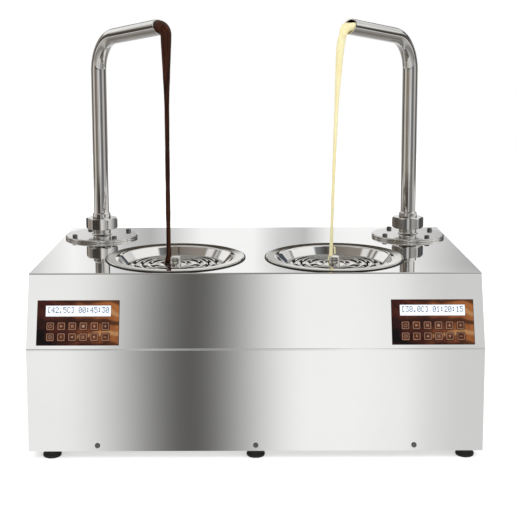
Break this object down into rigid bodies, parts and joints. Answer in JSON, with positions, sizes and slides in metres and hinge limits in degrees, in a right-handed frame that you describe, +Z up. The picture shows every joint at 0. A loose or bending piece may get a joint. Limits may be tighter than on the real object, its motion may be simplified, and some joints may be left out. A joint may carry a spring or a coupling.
{
  "type": "chocolate fountain",
  "caption": "Stainless steel table-top chocolate fountain: bent spouts pour melted chocolate into drained bowls on a case with sloping control panels.",
  "frame": {"origin": "middle of the footprint on the surface that the feet stand on", "axes": "+X to the right of someone in front, -Y towards them, +Z up"},
  "size_m": [0.66, 0.4204, 0.6376],
  "materials": {
    "satin_steel": "satin stainless steel",
    "polished_steel": "polished stainless steel",
    "screw_steel": "plain stainless steel",
    "black_rubber": "matt",
    "hose_silicone": "matt",
    "panel_film": "printed film",
    "display_glass": "lit display",
    "circuit_board": "satin",
    "dark_chocolate": "wet gloss",
    "white_chocolate": "wet gloss",
    "motor_paint": "satin paint",
    "heater_metal": "plain",
    "black_plastic": "matt"
  },
  "bodies": {
    "case": {"case_cover": "satin_steel", "side_panels": "satin_steel", "base_tray": "satin_steel", "rear_panel": "satin_steel", "feet": "black_rubber", "case_screws": "screw_steel", "tank_heaters": "heater_metal", "pump_flanges": "polished_steel", "flange_screws": "screw_steel", "spout_seals": "black_rubber", "pump_barrels": "polished_steel", "gearmotors": "motor_paint", "suction_hoses": "hose_silicone", "control_panels": "panel_film", "displays": "display_glass", "control_boards": "circuit_board", "power_inlet": "black_plastic", "switch_frame": "black_plastic", "left_basin": "polished_steel", "right_basin": "polished_steel"},
    "switch_rocker": {"switch_rocker": "black_plastic"},
    "left_spout": {"left_spout": "polished_steel", "left_spout_collar": "polished_steel", "left_stream": "dark_chocolate"},
    "left_union_nut": {"left_union_nut": "polished_steel"},
    "left_drain_grid": {"left_drain_grid": "polished_steel", "left_grid_knob": "polished_steel"},
    "left_auger": {"left_auger": "polished_steel"},
    "left_key_1": {"left_key_1": "panel_film"},
    "left_key_2": {"left_key_2": "panel_film"},
    "left_key_3": {"left_key_3": "panel_film"},
    "left_key_4": {"left_key_4": "panel_film"},
    "left_key_5": {"left_key_5": "panel_film"},
    "left_key_6": {"left_key_6": "panel_film"},
    "left_key_7": {"left_key_7": "panel_film"},
    "left_key_8": {"left_key_8": "panel_film"},
    "left_key_9": {"left_key_9": "panel_film"},
    "left_key_10": {"left_key_10": "panel_film"},
    "left_key_11": {"left_key_11": "panel_film"},
    "left_key_12": {"left_key_12": "panel_film"},
    "right_spout": {"right_spout": "polished_steel", "right_spout_collar": "polished_steel", "right_stream": "white_chocolate"},
    "right_union_nut": {"right_union_nut": "polished_steel"},
    "right_drain_grid": {"right_drain_grid": "polished_steel", "right_grid_knob": "polished_steel"},
    "right_auger": {"right_auger": "polished_steel"},
    "right_key_1": {"right_key_1": "panel_film"},
    "right_key_2": {"right_key_2": "panel_film"},
    "right_key_3": {"right_key_3": "panel_film"},
    "right_key_4": {"right_key_4": "panel_film"},
    "right_key_5": {"right_key_5": "panel_film"},
    "right_key_6": {"right_key_6": "panel_film"},
    "right_key_7": {"right_key_7": "panel_film"},
    "right_key_8": {"right_key_8": "panel_film"},
    "right_key_9": {"right_key_9": "panel_film"},
    "right_key_10": {"right_key_10": "panel_film"},
    "right_key_11": {"right_key_11": "panel_film"},
    "right_key_12": {"right_key_12": "panel_film"}
  },
  "joints": [
    {"name": "power_switch", "type": "hinge", "parent": "case", "child": "switch_rocker", "pos_m": [-0.03, 0.1988, 0.052], "axis": [-1, 0, 0], "range_deg": [0, 16]},
    {"name": "left_spout_swivel", "type": "hinge", "parent": "case", "child": "left_spout", "pos_m": [-0.264, 0.118, 0.2685], "axis": [0, 0, 1], "range_deg": [-12, 12]},
    {"name": "left_nut_turn", "type": "hinge", "parent": "case", "child": "left_union_nut", "pos_m": [-0.264, 0.118, 0.2685], "axis": [0, 0, 1], "range_deg": [0, 90]},
    {"name": "left_grid_lift", "type": "slide", "parent": "case", "child": "left_drain_grid", "axis": [0, 0, 1], "range_m": [0, 0.06], "deforming": ["left_stream"]},
    {"name": "left_auger_spin", "type": "hinge", "parent": "case", "child": "left_auger", "pos_m": [-0.264, 0.118, 0.2685], "axis": [0, 0, 1], "continuous": true},
    {"name": "left_key_1_press", "type": "slide", "parent": "case", "child": "left_key_1", "axis": [0, 0.945, -0.3271], "range_m": [0, 0.0005], "stiffness_N_per_m": 1500},
    {"name": "left_key_2_press", "type": "slide", "parent": "case", "child": "left_key_2", "axis": [0, 0.945, -0.3271], "range_m": [0, 0.0005], "stiffness_N_per_m": 1500},
    {"name": "left_key_3_press", "type": "slide", "parent": "case", "child": "left_key_3", "axis": [0, 0.945, -0.3271], "range_m": [0, 0.0005], "stiffness_N_per_m": 1500},
    {"name": "left_key_4_press", "type": "slide", "parent": "case", "child": "left_key_4", "axis": [0, 0.945, -0.3271], "range_m": [0, 0.0005], "stiffness_N_per_m": 1500},
    {"name": "left_key_5_press", "type": "slide", "parent": "case", "child": "left_key_5", "axis": [0, 0.945, -0.3271], "range_m": [0, 0.0005], "stiffness_N_per_m": 1500},
    {"name": "left_key_6_press", "type": "slide", "parent": "case", "child": "left_key_6", "axis": [0, 0.945, -0.3271], "range_m": [0, 0.0005], "stiffness_N_per_m": 1500},
    {"name": "left_key_7_press", "type": "slide", "parent": "case", "child": "left_key_7", "axis": [0, 0.945, -0.3271], "range_m": [0, 0.0005], "stiffness_N_per_m": 1500},
    {"name": "left_key_8_press", "type": "slide", "parent": "case", "child": "left_key_8", "axis": [0, 0.945, -0.3271], "range_m": [0, 0.0005], "stiffness_N_per_m": 1500},
    {"name": "left_key_9_press", "type": "slide", "parent": "case", "child": "left_key_9", "axis": [0, 0.945, -0.3271], "range_m": [0, 0.0005], "stiffness_N_per_m": 1500},
    {"name": "left_key_10_press", "type": "slide", "parent": "case", "child": "left_key_10", "axis": [0, 0.945, -0.3271], "range_m": [0, 0.0005], "stiffness_N_per_m": 1500},
    {"name": "left_key_11_press", "type": "slide", "parent": "case", "child": "left_key_11", "axis": [0, 0.945, -0.3271], "range_m": [0, 0.0005], "stiffness_N_per_m": 1500},
    {"name": "left_key_12_press", "type": "slide", "parent": "case", "child": "left_key_12", "axis": [0, 0.945, -0.3271], "range_m": [0, 0.0005], "stiffness_N_per_m": 1500},
    {"name": "right_spout_swivel", "type": "hinge", "parent": "case", "child": "right_spout", "pos_m": [0.264, 0.118, 0.2685], "axis": [0, 0, 1], "range_deg": [-12, 12]},
    {"name": "right_nut_turn", "type": "hinge", "parent": "case", "child": "right_union_nut", "pos_m": [0.264, 0.118, 0.2685], "axis": [0, 0, 1], "range_deg": [0, 90]},
    {"name": "right_grid_lift", "type": "slide", "parent": "case", "child": "right_drain_grid", "axis": [0, 0, 1], "range_m": [0, 0.06], "deforming": ["right_stream"]},
    {"name": "right_auger_spin", "type": "hinge", "parent": "case", "child": "right_auger", "pos_m": [0.264, 0.118, 0.2685], "axis": [0, 0, 1], "continuous": true},
    {"name": "right_key_1_press", "type": "slide", "parent": "case", "child": "right_key_1", "axis": [0, 0.945, -0.3271], "range_m": [0, 0.0005], "stiffness_N_per_m": 1500},
    {"name": "right_key_2_press", "type": "slide", "parent": "case", "child": "right_key_2", "axis": [0, 0.945, -0.3271], "range_m": [0, 0.0005], "stiffness_N_per_m": 1500},
    {"name": "right_key_3_press", "type": "slide", "parent": "case", "child": "right_key_3", "axis": [0, 0.945, -0.3271], "range_m": [0, 0.0005], "stiffness_N_per_m": 1500},
    {"name": "right_key_4_press", "type": "slide", "parent": "case", "child": "right_key_4", "axis": [0, 0.945, -0.3271], "range_m": [0, 0.0005], "stiffness_N_per_m": 1500},
    {"name": "right_key_5_press", "type": "slide", "parent": "case", "child": "right_key_5", "axis": [0, 0.945, -0.3271], "range_m": [0, 0.0005], "stiffness_N_per_m": 1500},
    {"name": "right_key_6_press", "type": "slide", "parent": "case", "child": "right_key_6", "axis": [0, 0.945, -0.3271], "range_m": [0, 0.0005], "stiffness_N_per_m": 1500},
    {"name": "right_key_7_press", "type": "slide", "parent": "case", "child": "right_key_7", "axis": [0, 0.945, -0.3271], "range_m": [0, 0.0005], "stiffness_N_per_m": 1500},
    {"name": "right_key_8_press", "type": "slide", "parent": "case", "child": "right_key_8", "axis": [0, 0.945, -0.3271], "range_m": [0, 0.0005], "stiffness_N_per_m": 1500},
    {"name": "right_key_9_press", "type": "slide", "parent": "case", "child": "right_key_9", "axis": [0, 0.945, -0.3271], "range_m": [0, 0.0005], "stiffness_N_per_m": 1500},
    {"name": "right_key_10_press", "type": "slide", "parent": "case", "child": "right_key_10", "axis": [0, 0.945, -0.3271], "range_m": [0, 0.0005], "stiffness_N_per_m": 1500},
    {"name": "right_key_11_press", "type": "slide", "parent": "case", "child": "right_key_11", "axis": [0, 0.945, -0.3271], "range_m": [0, 0.0005], "stiffness_N_per_m": 1500},
    {"name": "right_key_12_press", "type": "slide", "parent": "case", "child": "right_key_12", "axis": [0, 0.945, -0.3271], "range_m": [0, 0.0005], "stiffness_N_per_m": 1500}
  ]
}
